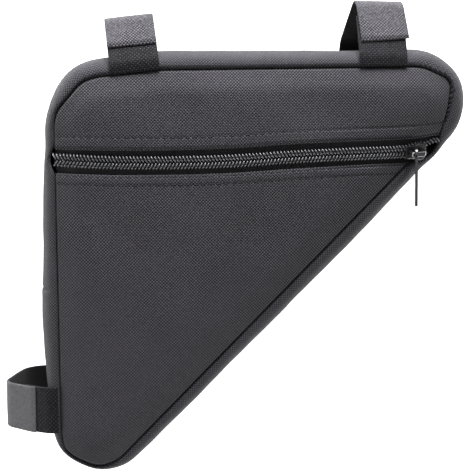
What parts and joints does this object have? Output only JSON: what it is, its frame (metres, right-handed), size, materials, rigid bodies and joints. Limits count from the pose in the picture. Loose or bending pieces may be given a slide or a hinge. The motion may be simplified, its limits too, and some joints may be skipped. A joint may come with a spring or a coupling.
{
  "type": "bicycle frame bag",
  "caption": "Triangular padded frame bag with a swollen side band, a zip across the front panel, a metal slider with pull tab, and hook-and-loop strap loops.",
  "frame": {"origin": "under the middle of the whole bag, on the surface that its back panel lies on", "axes": "+Z the way the front panel faces, +X along the top edge towards the right corner, +Y from the bottom tip towards the top edge"},
  "size_m": [0.2206, 0.2208, 0.0596],
  "materials": {
    "cloth": "charcoal woven polyester, matt with a faint grain",
    "zip_tape": "black ribbed zip tape",
    "zip_coil": "black nylon coil with a soft gloss",
    "slider_metal": "black enamelled cast metal, glossy edges",
    "loop_webbing": "dark grey woven tape with a brushed face",
    "hook_webbing": "near-black hook tape"
  },
  "bodies": {
    "root": {"side_band": "cloth", "back_panel": "cloth", "front_upper_panel": "cloth", "front_lower_panel": "cloth", "zip_tape_upper": "zip_tape", "zip_tape_lower": "zip_tape", "zip_coil_upper": "zip_coil", "zip_coil_lower": "zip_coil", "slider_body": "slider_metal", "top_right_strap_long": "loop_webbing", "top_right_strap_short": "hook_webbing", "top_left_strap_long": "loop_webbing", "top_left_strap_short": "hook_webbing", "side_strap_long": "loop_webbing", "side_strap_short": "hook_webbing"},
    "pull": {"pull_tab": "slider_metal"}
  },
  "joints": [
    {"name": "pull_swing", "type": "hinge", "parent": "root", "child": "pull", "pos_m": [0.08245, 0.03743, 0.05693], "axis": [-0.9659, 0, -0.2588], "range_deg": [-25, 165]}
  ]
}
